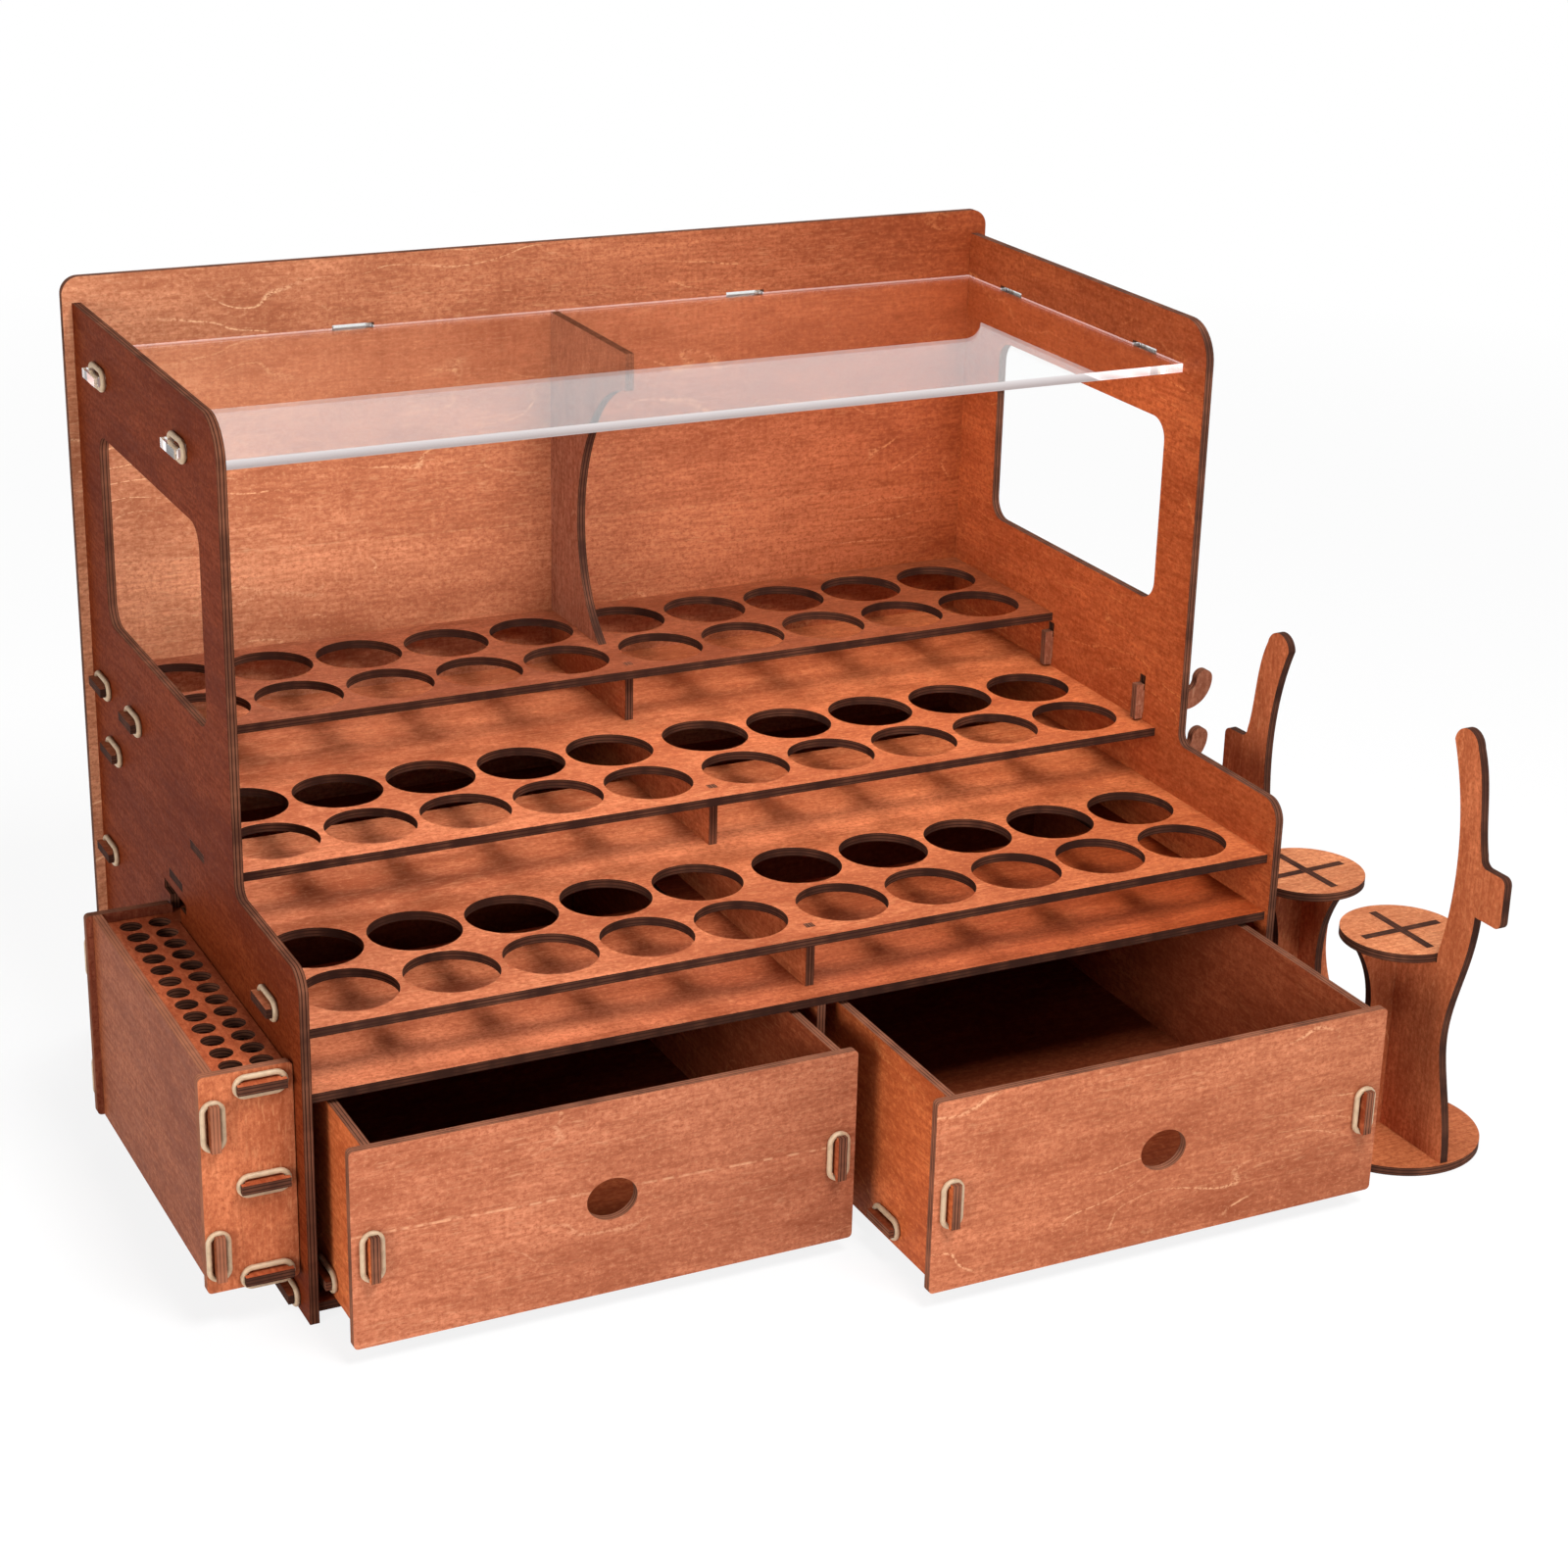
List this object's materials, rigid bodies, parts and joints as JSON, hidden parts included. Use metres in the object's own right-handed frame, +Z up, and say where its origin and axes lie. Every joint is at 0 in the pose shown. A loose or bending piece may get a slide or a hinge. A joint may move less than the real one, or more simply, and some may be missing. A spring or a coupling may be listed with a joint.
{
  "type": "hobby workstation organizer",
  "caption": "Stepped plywood rack for round hobby bottles, with drawers below, a clear shelf above, a hung brush box, hook brackets and small stands, held by rubber bands.",
  "frame": {"origin": "bottom centre of the whole set's bounding box, on the bench", "axes": "+X to the right as seen from the front, along the length; +Y to the back panel; +Z up"},
  "size_m": [0.5788, 0.4042, 0.3635],
  "materials": {
    "stained_plywood": "stained birch plywood, satin, with darker laser-cut edges",
    "clear_acrylic": "clear polished acrylic sheet",
    "rubber_band": "natural beige rubber"
  },
  "bodies": {
    "carcass": {"back_panel": "stained_plywood", "left_side_panel": "stained_plywood", "right_side_panel": "stained_plywood", "top_tier": "stained_plywood", "middle_tier": "stained_plywood", "bottom_tier": "stained_plywood", "bay_ceiling": "stained_plywood", "bay_floor": "stained_plywood", "bay_partition": "stained_plywood", "centre_divider": "stained_plywood", "bottom_support": "stained_plywood", "middle_support": "stained_plywood", "top_support": "stained_plywood", "acrylic_shelf": "clear_acrylic", "left_bands": "rubber_band", "right_bands": "rubber_band", "back_bands": "rubber_band"},
    "left_drawer": {"left_drawer_front": "stained_plywood", "left_drawer_back": "stained_plywood", "left_drawer_bottom": "stained_plywood", "left_drawer_bands": "rubber_band", "left_drawer_left_side": "stained_plywood", "left_drawer_right_side": "stained_plywood"},
    "right_drawer": {"right_drawer_front": "stained_plywood", "right_drawer_back": "stained_plywood", "right_drawer_bottom": "stained_plywood", "right_drawer_bands": "rubber_band", "right_drawer_left_side": "stained_plywood", "right_drawer_right_side": "stained_plywood"},
    "brush_box": {"brush_box_front": "stained_plywood", "brush_box_rear": "stained_plywood", "brush_box_outer_side": "stained_plywood", "brush_box_bands": "rubber_band", "brush_box_top_plate": "stained_plywood", "brush_box_guide_plate": "stained_plywood", "brush_box_bottom_plate": "stained_plywood"},
    "near_stand": {"near_stand_base_disc": "stained_plywood", "near_stand_seat_disc": "stained_plywood", "near_stand_arm_upright": "stained_plywood", "near_stand_cross_upright": "stained_plywood"},
    "far_stand": {"far_stand_base_disc": "stained_plywood", "far_stand_seat_disc": "stained_plywood", "far_stand_arm_upright": "stained_plywood", "far_stand_cross_upright": "stained_plywood"},
    "front_hook": {"front_hook_bracket": "stained_plywood"},
    "rear_hook": {"rear_hook_bracket": "stained_plywood"}
  },
  "joints": [
    {"name": "left_drawer_slide", "type": "slide", "parent": "carcass", "child": "left_drawer", "axis": [0, -1, 0], "range_m": [-0.038, 0.182]},
    {"name": "right_drawer_slide", "type": "slide", "parent": "carcass", "child": "right_drawer", "axis": [0, -1, 0], "range_m": [-0.0924, 0.1276]},
    {"name": "brush_box_lift", "type": "slide", "parent": "carcass", "child": "brush_box", "axis": [0, 0, 1], "range_m": [0, 0.011]},
    {"name": "front_hook_lift", "type": "slide", "parent": "carcass", "child": "front_hook", "axis": [0, 0, 1], "range_m": [0, 0.0035]},
    {"name": "rear_hook_lift", "type": "slide", "parent": "carcass", "child": "rear_hook", "axis": [0, 0, 1], "range_m": [0, 0.0035]},
    {"name": "near_stand_lift", "type": "slide", "parent": "carcass", "child": "near_stand", "axis": [0, 0, 1], "range_m": [0, 0.06]},
    {"name": "far_stand_lift", "type": "slide", "parent": "carcass", "child": "far_stand", "axis": [0, 0, 1], "range_m": [0, 0.06]}
  ]
}
